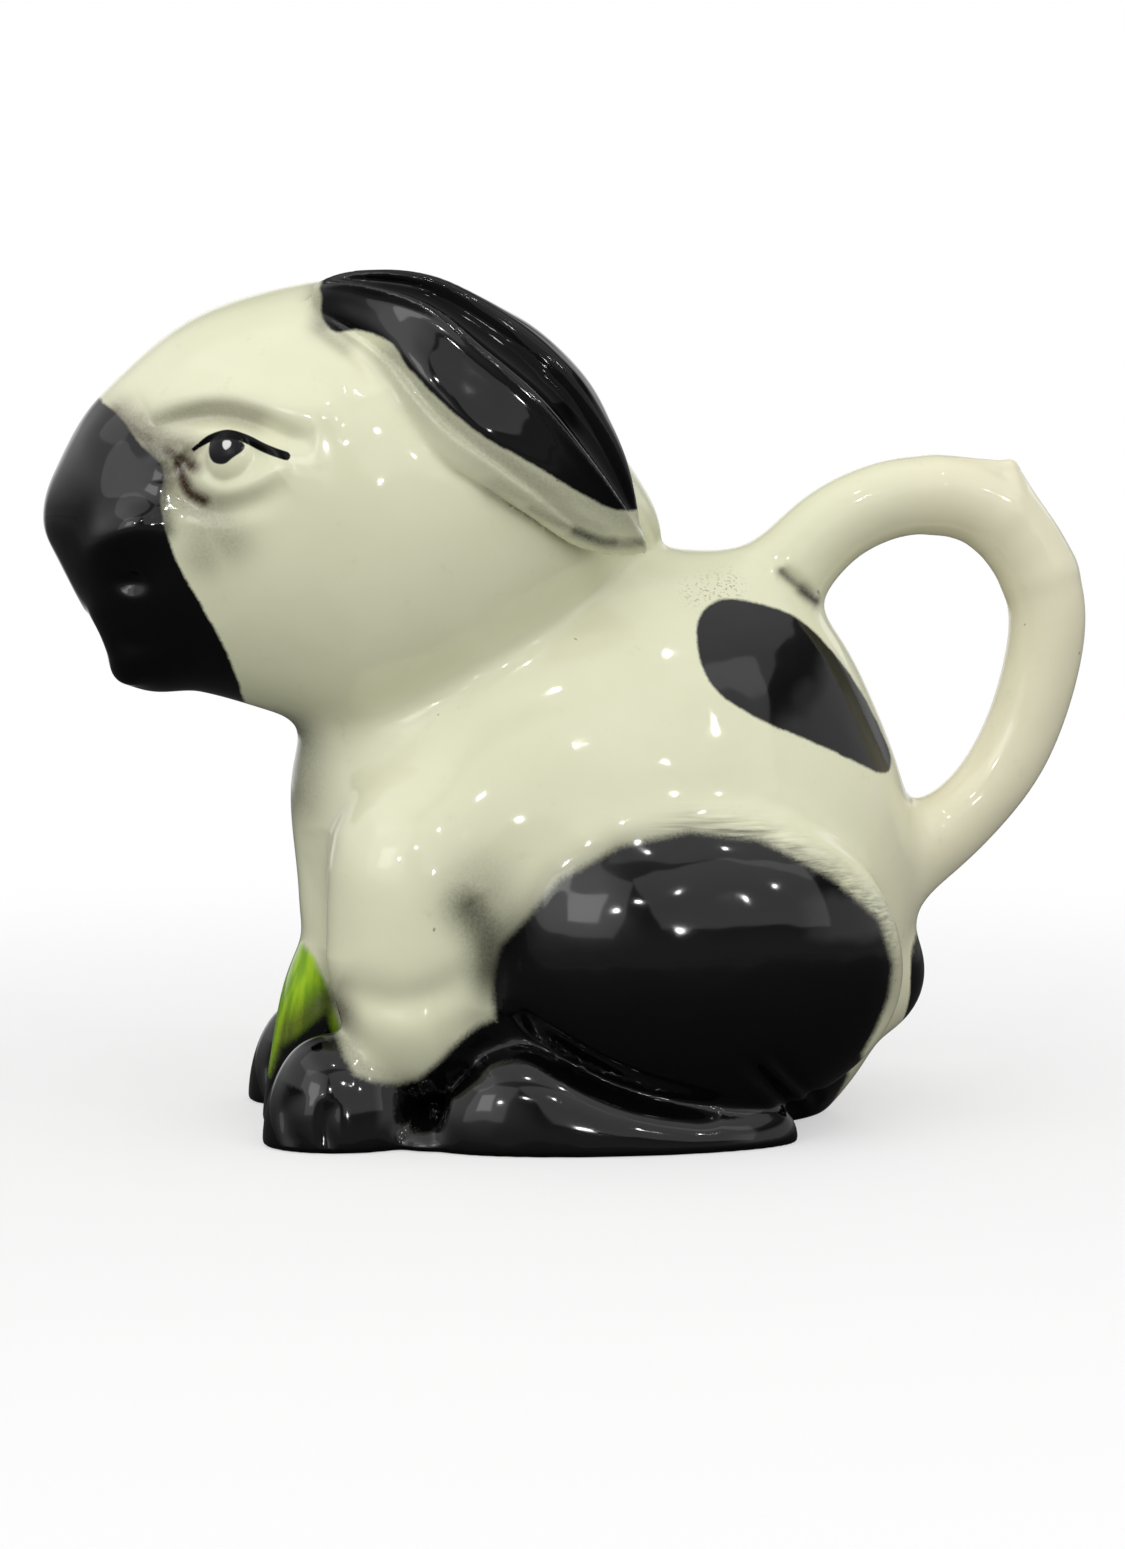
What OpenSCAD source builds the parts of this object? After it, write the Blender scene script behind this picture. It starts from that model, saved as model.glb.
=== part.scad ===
// Rabbit creamer: a hollow glazed-ceramic jug in the form of a crouching rabbit.
// The mouth is the pouring spout, the slot between the ears is the filling opening,
// and a loop at the back is the handle. The nose points to -X, the handle to +X,
// the table is at Z = 0, and the base plate is centred on the origin.
// Every casting that is luted on is cut by the casting that carries it,
// so the pieces meet face to face.

/* [Body] */
// Length of the torso, chest to rump
body_l = 85; // [76:1:94]
// Width of the torso
body_w = 54; // [50:1:60]
// Height of the nape above the table
nape_h = 76.5; // [73:0.5:80]
// How far the rounded underside would reach below the table
belly_drop = 14; // [11:0.5:17]
// Thickness of the cast wall
wall = 4; // [3:0.25:5]

/* [Base plate] */
// Length of the plate that closes the casting hole underneath
plate_l = 42; // [34:1:46]
// Width of that plate
plate_w = 34; // [28:1:38]
// Thickness of that plate and of the floor around it
plate_t = 5; // [4:0.25:6]

/* [Head] */
// Length of the head, nose to nape
head_l = 82; // [77:0.5:86]
// Width across the cheeks
head_w = 54; // [48:1:58]
// Height from jaw to crown
head_h = 61; // [57:0.5:64]
// Place of the middle of the head, along the body
head_x = -28; // [-30.5:0.5:-25.5]
// Height of the middle of the head
head_z = 82; // [79.5:0.5:84.5]

/* [Openings] */
// Length of the filling opening between the ears
fill_l = 25; // [20:0.5:27]
// Width of the filling opening
fill_w = 15; // [12:0.5:17]
// Place of the filling opening, along the body
fill_x = -9; // [-11:0.5:-7]
// Width of the mouth that pours
mouth_w = 12; // [9:0.5:14]
// Height of the mouth that pours
mouth_h = 6.5; // [5.5:0.25:7.5]
// Height of the mouth above the table
mouth_z = 65.25; // [64.25:0.25:66.25]

/* [Eyes] */
// Diameter of the eyeball
eye_d = 9; // [7.5:0.25:10]
// Place of the eye, along the body
eye_x = -44; // [-46:0.5:-42]
// Height of the eye above the table
eye_z = 88.5; // [86.5:0.5:90.5]
// How far the eyeball stands out of the cheek
eye_out = 1; // [0.6:0.1:1.4]

/* [Ears] */
// Width of an ear at its broadest
ear_w = 25; // [22:0.5:27]
// Thickness of an ear at its thickest
ear_t = 8; // [6.5:0.25:9]
// How far the face of an ear turns up from straight sideways
ear_tilt = 30; // [20:1:38]
// Depth of the hollow inside an ear
ear_hollow = 2.2; // [1.5:0.1:2.8]
// How far the edges of an ear curl in round the head
ear_curl = 3; // [2:0.25:4]

/* [Handle] */
// Thickness of the handle's loop
handle_d = 10.4; // [9:0.2:12]
// How far the loop's middle line stands behind the middle of the base
handle_reach = 67; // [64:0.5:70]
// Height of the top of the loop's middle line
handle_top = 84; // [82:0.2:86]
// Height of the loop's lower root
handle_low = 31.5; // [29:0.5:34]
// Height of the thumb rest's tip above the loop's middle line
thumb_h = 7.5; // [6.8:0.1:8.2]

/* [Forelegs] */
// Distance between the middles of the forelegs
foreleg_gap = 35; // [33:0.5:37]
// Width of a foreleg
foreleg_w = 21; // [19:0.5:23]
// Depth of a foreleg, front to back
foreleg_d = 29; // [27:0.5:31]
// Height of a foreleg's shoulder above the table
foreleg_h = 49; // [46:0.5:52]
// Length of a forepaw
paw_l = 20; // [18:0.5:22]
// Height of a forepaw
paw_h = 14; // [12:0.5:15.5]
// Width of a forepaw
paw_w = 17; // [15:0.5:18]

/* [Hindquarters] */
// Length of a haunch
haunch_l = 53; // [48:1:57]
// Height of a haunch above the table
haunch_h = 44; // [41:0.5:47]
// Width across both haunches
haunch_w = 68; // [64:0.5:72]
// Length of a hind foot
foot_l = 47.5; // [44:0.5:50]
// Height of a hind foot at the toes
foot_h = 15.5; // [13:0.5:17]
// Width across both hind feet
foot_span = 66; // [62:0.5:68]
// Diameter of the tail
tail_d = 19; // [17:0.5:21]

/* [Leaf] */
// Height of the lettuce leaf's top edge
leaf_h = 28; // [25:0.5:30]
// Width of the leaf
leaf_w = 20; // [18:0.5:23]

/* [Hidden] */

cream = "#e6e4c8";
black = "#17181a";
green = "#7fb21c";
bisque = "#d8cfbd";
left = -1;
right = 1;
far = 200;
level = [0, 0, 0];
round = [1, 1, 1];
sideways = [0, 1, 0];

// Smooth curve through equally spaced values, for u from 0 to 1
function knot(values, i) = values[max(0, min(len(values) - 1, i))];
function curve(values, u) =
    let (last = len(values) - 1, k = min(last - 1, floor(u * last)), t = u * last - k)
    let (a = knot(values, k - 1), b = knot(values, k), c = knot(values, k + 1), d = knot(values, k + 2))
    b + t * (c - a) / 2 + t * t * (a - 2.5 * b + 2 * c - d / 2) + t * t * t * (1.5 * (b - c) + (d - a) / 2);

function unit(v) = v / norm(v);

// A skin over rings that have equal numbers of points
module skin(rings) {
    for (i = [0 : len(rings) - 2]) {
        both = concat(rings[i], rings[i + 1]);
        hull() polyhedron(both, [[for (k = [0 : len(both) - 1]) k]]);
    }
}

// An egg along X: half its length, then the lift, half height and half width from end to end
module egg(half, lift, high, wide, grow = 0, rings = 16, sides = 24) {
    skin([for (i = [0 : rings])
        let (a = 180 * i / rings, u = i / rings)
        let (z0 = curve(lift, u), h = (curve(high, u) + grow) * sin(a), w = (curve(wide, u) + grow) * sin(a))
        [for (k = [0 : sides - 1])
            let (b = 360 * k / sides)
            [-(half + grow) * cos(a), w * sin(b), z0 + h * cos(b)]]]);
}

// Keeps what stands above a level
module above(z = 0) {
    intersection() {
        union() children();
        translate([-far, -far, z]) cube(2 * far);
    }
}

// Turns a +Y piece over for the -Y side
module on_side(side) {
    mirror([0, side == left ? 1 : 0, 0]) children();
}

// The torso is an egg on end that leans back at the nape
torso_mid = (nape_h - belly_drop) / 2;
torso_half = (nape_h + belly_drop) / 2;
torso_lift = [0, -2, -5.5, -6.4, -4.7, -10.8, -17];
torso_high = [for (s = [1.08, 1.08, 1.01, 0.99, 1.05, 1.03, 0.94]) s * body_l / 2];
torso_wide = [for (s = [0.9, 0.9, 0.95, 1, 0.98, 0.9, 0.8]) s * body_w / 2];

module torso(grow = 0) {
    translate([0, 0, torso_mid]) rotate([0, -90, 0])
        egg(torso_half, torso_lift, torso_high, torso_wide, grow, 18, 32);
}

// The head is an egg along the body, blunt at the muzzle
head_lift = [-1, -0.5, -0.6, -1.9, 0.7, 1, 0, 0.5, 0.7, 0.5, -0.3, -1.5, -2.5];
head_high = [for (s = [0.63, 0.65, 0.85, 0.98, 0.94, 0.95, 1, 0.97, 0.88, 0.74, 0.54, 0.4, 0.33])
    s * head_h / 2];
head_wide = [for (s = [0.6, 0.7, 0.81, 0.76, 0.79, 0.92, 1, 1, 0.98, 0.94, 0.81, 0.74, 0.67])
    s * head_w / 2];

module head(grow = 0) {
    translate([head_x, 0, head_z]) egg(head_l / 2, head_lift, head_high, head_wide, grow, 24, 32);
}

// Half the head's width at a place along it and a height
function head_side(x, z) =
    let (a = acos((head_x - x) / (head_l / 2)), u = a / 180)
    let (rise = (z - head_z - curve(head_lift, u)) / (curve(head_high, u) * sin(a)))
    curve(head_wide, u) * sin(a) * sqrt(1 - rise * rise);

module cavity() {
    above(plate_t) torso(-wall);
    head(-wall);
}

// The plate is an oval with short straight sides
module base_plate_form() {
    sides = 96;
    linear_extrude(plate_t)
        polygon([for (k = [0 : sides - 1])
            let (b = 360 * k / sides)
            [plate_l / 2 * cos(b), plate_w / 2 * sin(b)]]);
}

module body_shell() {
    color(cream) difference() {
        above() torso();
        cavity();
        base_plate_form();
    }
}

module base_plate() {
    color(bisque) base_plate_form();
}

// The channel runs from the lips back into the hollow head
module mouth_channel() {
    channel_l = 22;
    translate([head_x - head_l / 2, 0, mouth_z]) rotate([0, 90, 0])
        scale([mouth_h, mouth_w, 1]) cylinder(h = channel_l, d = 1, $fn = 32);
}

module fill_channel() {
    translate([fill_x, 0, head_z]) scale([fill_l, fill_w, 1]) cylinder(h = head_h, d = 1, $fn = 40);
}

module head_shell() {
    color(cream) difference() {
        head();
        torso();
        cavity();
        mouth_channel();
        fill_channel();
    }
}

module eye(side) {
    color(black) on_side(side) difference() {
        translate([eye_x, head_side(eye_x, eye_z) + eye_out - eye_d / 2, eye_z]) sphere(d = eye_d, $fn = 32);
        head();
    }
}

// The ear's middle line on the +Y side, from the crown back to the shoulder:
// places from the middle of the head, and depths inside the cheek
ear_x = [-6, -0.6, 6.9, 13.6, 20, 26, 31.4, 36.4];
ear_in = [15, 12, 8.2, 5.5, 4, 4, 6, 9.5];
ear_z = [28, 27, 24.2, 18.6, 13, 6.2, -0.4, -5.5];
ear_wide = [for (s = [0.3, 0.46, 0.7, 0.92, 1, 0.86, 0.56, 0.1]) s * ear_w / 2];
ear_thick = [for (s = [0.6, 0.9, 1, 1, 1, 0.9, 0.8, 0.3]) s * ear_t / 2];

function ear_at(u) =
    [head_x + curve(ear_x, u), head_w / 2 - curve(ear_in, u), head_z + curve(ear_z, u)];

// Rings round a stretch of that line, broad across the ear and thin through it;
// out = 0 gives the ear and out = 1 a dish on its outer face
function ear_rings(first, last, share, thick, out, rings, sides) = [for (i = [0 : rings])
    let (part = i / rings, u = first + (last - first) * part, end = sqrt(1 - pow(2 * part - 1, 8)))
    let (along = unit(ear_at(min(1, u + 0.02)) - ear_at(max(0, u - 0.02))))
    let (down = unit(cross(sideways, along)), across = cos(ear_tilt) * down + sin(ear_tilt) * sideways)
    let (face = cross(along, across), mid = ear_at(u) + out * curve(ear_thick, u) * face)
    [for (k = [0 : sides - 1])
        let (b = 360 * k / sides, reach = share * cos(b))
        let (bulge = curve(thick, u) * sin(b) - ear_curl * reach * reach)
        mid + end * (curve(ear_wide, u) * reach * across + bulge * face)]];

module ear(side) {
    dish_first = 0.16;
    dish_last = 0.9;
    dish_share = 0.6;
    color(black) on_side(side) difference() {
        skin(ear_rings(0, 1, 1, ear_thick, 0, 16, 20));
        skin(ear_rings(dish_first, dish_last, dish_share, round * ear_hollow, 1, 12, 16));
        head();
        torso();
    }
}

// The handle's middle line in the plane of symmetry
handle_x = [24, 31, 38, 48, 59, handle_reach - 1, handle_reach, 63, 56, 47, 40];
handle_z = [nape_h - 9, nape_h - 2.5, handle_top - 3.5, handle_top, handle_top - 2, handle_top - 11,
    handle_top - 20.5, handle_low + 18.5, handle_low + 9, handle_low + 3, handle_low];
handle_r = [for (s = [1.3, 1.12, 1.04, 1.02, 1.04, 1.02, 1, 0.97, 0.95, 1.2, 1.4]) s * handle_d / 2];

function handle_at(u) = [curve(handle_x, u), 0, curve(handle_z, u)];

module handle_form() {
    rings = 30;
    sides = 20;
    skin([for (i = [0 : rings])
        let (u = i / rings, along = unit(handle_at(min(1, u + 0.01)) - handle_at(max(0, u - 0.01))))
        let (across = cross(sideways, along), r = curve(handle_r, u))
        [for (k = [0 : sides - 1])
            let (b = 360 * k / sides)
            handle_at(u) + r * (cos(b) * across + sin(b) * sideways)]]);
}

// A rest for the thumb: the far shoulder of the loop is drawn out to a point
module thumb_rest() {
    shoulder = [0.33, 0.415, 0.5];
    lean = 0.2;
    tip_d = 2;
    tip = handle_at(shoulder[1]) + (thumb_h - tip_d / 2) * [lean, 0, 1];
    for (place = shoulder) hull() {
        translate(handle_at(place)) sphere(r = curve(handle_r, place), $fn = 24);
        translate(tip) sphere(d = tip_d, $fn = 16);
    }
}

module handle() {
    color(cream) difference() {
        union() {
            handle_form();
            thumb_rest();
        }
        torso();
        head();
    }
}

tail_x = 40.5;
tail_z = 19;

module tail() {
    color(black) difference() {
        translate([tail_x, 0, tail_z])
            egg(tail_d / 2, level, round * tail_d / 2, round * tail_d / 2, 0, 12, 20);
        torso();
    }
}

foreleg_x = -20.5;
foreleg_low = 5;

module foreleg_form() {
    translate([foreleg_x, foreleg_gap / 2, (foreleg_h + foreleg_low) / 2]) rotate([0, -90, 0])
        egg((foreleg_h - foreleg_low) / 2, [-3, -1, 0, 0.5, 0, -1, -2],
            [for (s = [0.9, 0.9, 0.86, 0.86, 0.96, 1, 0.9]) s * foreleg_d / 2],
            [for (s = [0.9, 0.92, 0.92, 0.95, 1, 0.9, 0.8]) s * foreleg_w / 2], 0, 14);
}

paw_x = -30.7;

module paw_form() {
    above() translate([paw_x, foreleg_gap / 2, 0])
        egg(paw_l / 2, level, [0.95, 1, 1, 1, 0.95] * paw_h, round * paw_w / 2, 0, 12);
}

module foreleg(side) {
    color(cream) on_side(side) difference() {
        foreleg_form();
        torso();
        paw_form();
    }
}

module forepaw(side) {
    color(black) on_side(side) difference() {
        paw_form();
        torso();
    }
}

haunch_x = 15.5;
haunch_low = 2;
haunch_thick = 26;

module haunch_form() {
    translate([haunch_x, haunch_w / 2 - haunch_thick / 2, (haunch_h + haunch_low) / 2])
        egg(haunch_l / 2, [-1, 0, 0, 0, -1], round * (haunch_h - haunch_low) / 2, round * haunch_thick / 2);
}

foot_x = 3.7;
foot_wide = 17;

module foot_form() {
    above() translate([foot_x, foot_span / 2 - foot_wide / 2, 0])
        egg(foot_l / 2, level, [for (s = [1.1, 1.15, 0.95, 0.6, 0.45, 0.4, 0.4]) s * foot_h],
            round * foot_wide / 2);
}

module haunch(side) {
    color(black) on_side(side) difference() {
        haunch_form();
        torso();
        foot_form();
    }
}

module hind_foot(side) {
    color(black) on_side(side) difference() {
        foot_form();
        torso();
        foreleg_form();
        paw_form();
    }
}

leaf_x = -29;
leaf_low = 3;
leaf_thick = 13;

// The leaf stands between the forelegs and leans back on the chest
module lettuce_leaf() {
    color(green) difference() {
        above() translate([leaf_x, 0, (leaf_h + leaf_low) / 2]) rotate([0, -90, 0])
            egg((leaf_h - leaf_low) / 2, [4, 3.6, 2.8, 0.6, -1], round * leaf_thick / 2,
                round * leaf_w / 2, 0, 12);
        torso();
        for (side = [left, right]) on_side(side) {
            foreleg_form();
            paw_form();
        }
    }
}

body_shell();
base_plate();
head_shell();
ear(left);  // left_ear
ear(right);  // right_ear
eye(left);  // left_eye
eye(right);  // right_eye
handle();
tail();
foreleg(left);  // left_foreleg
foreleg(right);  // right_foreleg
forepaw(left);  // left_forepaw
forepaw(right);  // right_forepaw
haunch(left);  // left_haunch
haunch(right);  // right_haunch
hind_foot(left);  // left_hind_foot
hind_foot(right);  // right_hind_foot
lettuce_leaf();
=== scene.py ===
import math

import bpy
import numpy as np
from mathutils import Matrix, Vector


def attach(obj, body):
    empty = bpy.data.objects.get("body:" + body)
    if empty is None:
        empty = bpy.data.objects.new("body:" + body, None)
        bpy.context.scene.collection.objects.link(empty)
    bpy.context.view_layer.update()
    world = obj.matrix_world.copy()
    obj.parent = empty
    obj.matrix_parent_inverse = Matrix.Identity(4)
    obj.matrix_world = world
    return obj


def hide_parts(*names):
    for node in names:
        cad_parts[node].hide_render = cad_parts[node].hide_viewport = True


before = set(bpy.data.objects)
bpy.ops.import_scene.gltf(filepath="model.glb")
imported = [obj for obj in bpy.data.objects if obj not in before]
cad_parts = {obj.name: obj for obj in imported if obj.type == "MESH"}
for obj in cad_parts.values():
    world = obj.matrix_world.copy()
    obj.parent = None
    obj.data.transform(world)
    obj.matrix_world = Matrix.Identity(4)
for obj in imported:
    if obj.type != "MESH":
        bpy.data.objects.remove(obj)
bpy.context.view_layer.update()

# A glazed-ceramic rabbit creamer. The forms are the CAD model's own eggs, loops and leaves, in millimetres.
# They are blended into one glazed surface, the details are pressed into it, and the surface is then
# parted again along the castings, so that every piece is a closed body and the joints don't show.
MM = 0.001

# Camera: the photograph's frame, and where it was taken from
FRAME_W, FRAME_H = 1125, 1549
AIM = np.array([0.0, 0.0, 46.3])
TURN, RISE, DISTANCE = math.radians(8), math.radians(4.5), 480.0
MM_PER_PIXEL, SENSOR = 0.135, 36.0
PIXELS_PER_RADIAN = DISTANCE / MM_PER_PIXEL
to_camera = np.array([-math.sin(TURN) * math.cos(RISE), -math.cos(TURN) * math.cos(RISE), math.sin(RISE)])
right_way = np.array([math.cos(TURN), -math.sin(TURN), 0.0])
up_way = np.cross(to_camera, right_way)
eye_point = AIM + DISTANCE * to_camera


# Smooth curves and blends. Distances to a form are below zero inside it.
def curve(values, u):
    """A smooth curve through evenly spaced values, for u from 0 to 1."""
    v = np.asarray(values, float)
    last = len(v) - 1
    x = np.clip(u, 0, 1) * last
    k = np.minimum(x.astype(int), last - 1)
    t = x - k
    a, b, c, d = v[np.maximum(k - 1, 0)], v[k], v[k + 1], v[np.minimum(k + 2, last)]
    return b + t * (c - a) / 2 + t * t * (a - 2.5 * b + 2 * c - d / 2) + t ** 3 * (1.5 * (b - c) + (d - a) / 2)


def join(a, b, k):
    """Two forms joined, with a fillet about k wide."""
    h = np.maximum(k - np.abs(a - b), 0) / k
    return np.minimum(a, b) - h * h * h * k / 6


def cut(a, b, k):
    """What two forms share, with an edge rounded over about k."""
    return -join(-a, -b, k)


def step(x, lo, hi):
    """A smooth rise from 0 at lo to 1 at hi."""
    t = np.clip((x - lo) / (hi - lo), 0, 1)
    return t * t * (3 - 2 * t)


def bell(x, mid, wide):
    """A smooth bump of height 1."""
    return np.exp(-(((x - mid) / wide) ** 2))


def egg(t, u, v, mid, half, lift, high, wide, grow=0.0):
    """Distance to an egg along t, whose lift, height and width change along it."""
    half = half + grow
    s = (t - mid) / half
    a = np.arccos(np.clip(-s, -1, 1)) / np.pi
    high, wide = curve(high, a) + grow, curve(wide, a) + grow
    su, sv = (u - curve(lift, a)) / high, v / wide
    r = np.sqrt(s * s + su * su + sv * sv) + 1e-6
    slope = np.sqrt((s / half) ** 2 + (su / high) ** 2 + (sv / wide) ** 2) / r
    return (r - 1) / np.maximum(slope, 1e-3)


# Sizes, as in the CAD source
WALL, FLOOR = 4.0, 5.0
PLATE_L, PLATE_W = 42.0, 34.0
TORSO_TOP, TORSO_LOW = 76.5, -14.0
TORSO_MID, TORSO_HALF = (TORSO_TOP + TORSO_LOW) / 2, (TORSO_TOP - TORSO_LOW) / 2
TORSO_LIFT = [0, -2, -5.5, -6.4, -4.7, -10.8, -17]
TORSO_HIGH = np.array([1.08, 1.08, 1.01, 0.99, 1.05, 1.03, 0.94]) * 85 / 2
TORSO_WIDE = np.array([0.9, 0.9, 0.95, 1, 0.98, 0.9, 0.8]) * 54 / 2
HEAD_X, HEAD_Z, HEAD_HALF = -28.0, 82.0, 41.0
HEAD_LIFT = [-1, -0.5, -0.6, -1.9, 0.7, 1, 0, 0.5, 0.7, 0.5, -0.3, -1.5, -2.5]
HEAD_HIGH = np.array([0.63, 0.65, 0.85, 0.98, 0.94, 0.95, 1, 0.97, 0.88, 0.74, 0.54, 0.4, 0.33]) * 61 / 2
HEAD_WIDE = np.array([0.6, 0.7, 0.81, 0.76, 0.79, 0.92, 1, 1, 0.98, 0.94, 0.81, 0.74, 0.67]) * 54 / 2
FILL_X, FILL_L, FILL_W = -9.0, 25.0, 15.0
MOUTH_Z, MOUTH_W, MOUTH_H = 65.6, 11.0, 5.6
EYE_X, EYE_Z, EYE_D, EYE_OUT = -44.0, 88.5, 9.0, 1.0
EAR_X = np.array([-6, -0.6, 6.9, 13.6, 20, 26, 31.4, 36.4]) + HEAD_X
EAR_Y = 27 - np.array([15, 12, 8.2, 5.5, 4, 4, 6, 9.5])
EAR_DROP = 0.1  # keeps the ear's rolled edge inside the CAD model's box
EAR_Z = np.array([28, 27, 24.2, 18.6, 13, 6.2, -0.4, -5.5]) + HEAD_Z - EAR_DROP
EAR_WIDE = np.array([0.3, 0.46, 0.7, 0.92, 1, 0.86, 0.56, 0.1]) * 25 / 2
EAR_THICK = np.array([0.6, 0.9, 1, 1, 1, 0.9, 0.8, 0.3]) * 8 / 2
EAR_TILT, EAR_CURL = math.radians(30), 3.0
HANDLE_X = [24, 31, 38, 48, 59, 66, 67, 63, 56, 47, 40]
HANDLE_Z = [67.5, 74, 80.5, 84, 82, 73, 63.5, 50, 40.5, 34.5, 31.5]
HANDLE_R = np.array([1.3, 1.12, 1.04, 1.02, 1.04, 1.02, 1, 0.97, 0.95, 1.2, 1.4]) * 10.4 / 2
THUMB_PLACES, THUMB_LEAN, THUMB_H, THUMB_TIP_R = (0.33, 0.415, 0.5), 0.2, 7.5, 1.0
TAIL_X, TAIL_Z, TAIL_R = 40.5, 19.0, 9.5
HAUNCH_X, HAUNCH_Y, HAUNCH_Z, HAUNCH_HALF = 15.5, 21.0, 23.0, 26.5
HAUNCH_LIFT, HAUNCH_HIGH, HAUNCH_WIDE = [-1, 0, 0, 0, -1], [21] * 3, [13] * 3
LEG_X, LEG_Z, LEG_HALF, LEG_GAP = -20.5, 27.0, 22.0, 35.0
LEG_LIFT = [-3, -1, 0, 0.5, 0, -1, -2]
LEG_LONG = np.array([0.9, 0.9, 0.86, 0.86, 0.96, 1, 0.9]) * 14.5
LEG_WIDE = np.array([0.9, 0.92, 0.92, 0.95, 1, 0.9, 0.8]) * 10.5
PAW_X, PAW_HALF, PAW_WIDE = -31.2, 10.5, [8.5] * 3
PAW_HIGH = np.array([1.15, 1.12, 1.02, 1, 0.95]) * 14
FOOT_X, FOOT_Y, FOOT_HALF, FOOT_WIDE = 3.7, 24.5, 23.75, [8.5] * 3
FOOT_HIGH = np.array([1.1, 1.15, 0.95, 0.6, 0.48, 0.62, 1.2]) * 15.5
WEB_X, WEB_Y, WEB_SIZE = -20.5, 20.0, (5.0, 6.5, 3.6)
LEAF_X, LEAF_Z, LEAF_HALF = -29.0, 10.0, 18.0
LEAF_LIFT, LEAF_THICK, LEAF_WIDE = [8.5, 7, 3.9, 2.4, -0.5], [6.5] * 3, [10] * 3
LEVEL = [0] * 3
LIP_TOP, LIP_LOW, LIP_Y, LIP_R = np.array([-59.8, 69.0]), np.array([-57.8, 63.2]), 6.2, 2.6
JAW_X, JAW_Z, JAW_R, JAW_SPAN = -58.2, 61.3, 1.9, 5.0


def torso(x, y, z, grow=0.0):
    return egg(z, -x, y, TORSO_MID, TORSO_HALF, TORSO_LIFT, TORSO_HIGH, TORSO_WIDE, grow)


def head(x, y, z, grow=0.0):
    return egg(x, z - HEAD_Z, y, HEAD_X, HEAD_HALF, HEAD_LIFT, HEAD_HIGH, HEAD_WIDE, grow)


def haunch(x, y, z):
    return egg(x, z - HAUNCH_Z, np.abs(y) - HAUNCH_Y, HAUNCH_X, HAUNCH_HALF, HAUNCH_LIFT, HAUNCH_HIGH, HAUNCH_WIDE)


def foreleg(x, y, z):
    return egg(z, -(x - LEG_X), np.abs(y) - LEG_GAP / 2, LEG_Z, LEG_HALF, LEG_LIFT, LEG_LONG, LEG_WIDE)


def paw(x, y, z):
    return egg(x, z, np.abs(y) - LEG_GAP / 2, PAW_X, PAW_HALF, LEVEL, PAW_HIGH, PAW_WIDE)


def hind_foot(x, y, z):
    return egg(x, z, np.abs(y) - FOOT_Y, FOOT_X, FOOT_HALF, LEVEL, FOOT_HIGH, FOOT_WIDE)


def web(x, y, z):
    """The clay that fills the dip between a paw and the hind foot behind it."""
    long, wide, high = WEB_SIZE
    return (np.sqrt(((x - WEB_X) / long) ** 2 + ((np.abs(y) - WEB_Y) / wide) ** 2 + (z / high) ** 2) - 1) * high


def leaf(x, y, z):
    return egg(z, -(x - LEAF_X), y, LEAF_Z, LEAF_HALF, LEAF_LIFT, LEAF_THICK, LEAF_WIDE)


def tail(x, y, z):
    return np.sqrt((x - TAIL_X) ** 2 + y * y + (z - TAIL_Z) ** 2) - TAIL_R


def head_side(x, z):
    """How far out the head's side is at a place."""
    a = math.acos((HEAD_X - x) / HEAD_HALF)
    u = np.array([a / math.pi])
    rise = (z - HEAD_Z - curve(HEAD_LIFT, u)) / (curve(HEAD_HIGH, u) * math.sin(a))
    return float((curve(HEAD_WIDE, u) * math.sin(a) * np.sqrt(1 - rise * rise))[0])


EYE_Y = head_side(EYE_X, EYE_Z) + EYE_OUT - EYE_D / 2


def eyeball(x, y, z):
    return np.sqrt((x - EYE_X) ** 2 + (np.abs(y) - EYE_Y) ** 2 + (z - EYE_Z) ** 2) - EYE_D / 2


# The ear: a leaf with a cupped, ridged face, described along and across its middle line.
# Edges and face are shaped by bells: height, place and width. The edge's heights are shares of the half width and
# its places are along the ear. The face's heights are in millimetres, and its places are across the ear.
EAR_STEPS = 64
UPPER_EDGE = [(0.05, 0.39, 0.08), (-0.02, 0.55, 0.06)]
LOWER_EDGE = 0.22
EAR_FACE = [(-4.2, -0.3, 0.2), (0.25, -0.68, 0.13), (0.8, 0.06, 0.1), (-0.3, 0.42, 0.2), (-0.8, 0.79, 0.06),
            (0.35, 0.9, 0.07)]
ear_u = np.linspace(0, 1, EAR_STEPS)


def ear_line(u):
    return np.stack([curve(EAR_X, u), curve(EAR_Y, u), curve(EAR_Z, u)], -1)


def unit(v):
    return v / np.linalg.norm(v, axis=-1)[..., None]


def ear_frame(u):
    along = unit(ear_line(np.minimum(1, u + 0.02)) - ear_line(np.maximum(0, u - 0.02)))
    down = unit(np.stack([along[:, 2], 0 * u, -along[:, 0]], -1))
    across = math.cos(EAR_TILT) * down + math.sin(EAR_TILT) * np.array([0, 1.0, 0])
    return along, across, np.cross(along, across)


ear_mid = ear_line(ear_u)
EAR_LENGTH = np.linalg.norm(np.diff(ear_mid, axis=0), axis=1).sum()


def ear_place(x, y, z):
    """Where along the ear's middle line a point lies, and how far across, out from and beyond it."""
    p = np.stack([x, np.abs(y), z], -1)
    u = ear_u[((p[:, None, :] - ear_mid[None]) ** 2).sum(2).argmin(1)]
    for _ in range(3):
        along = ear_frame(u)[0]
        u = np.clip(u + ((p - ear_line(u)) * along).sum(1) / EAR_LENGTH, 0, 1)
    along, across, face = ear_frame(u)
    off = p - ear_line(u)
    return u, (off * across).sum(1), (off * face).sum(1), (off * along).sum(1)


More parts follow.
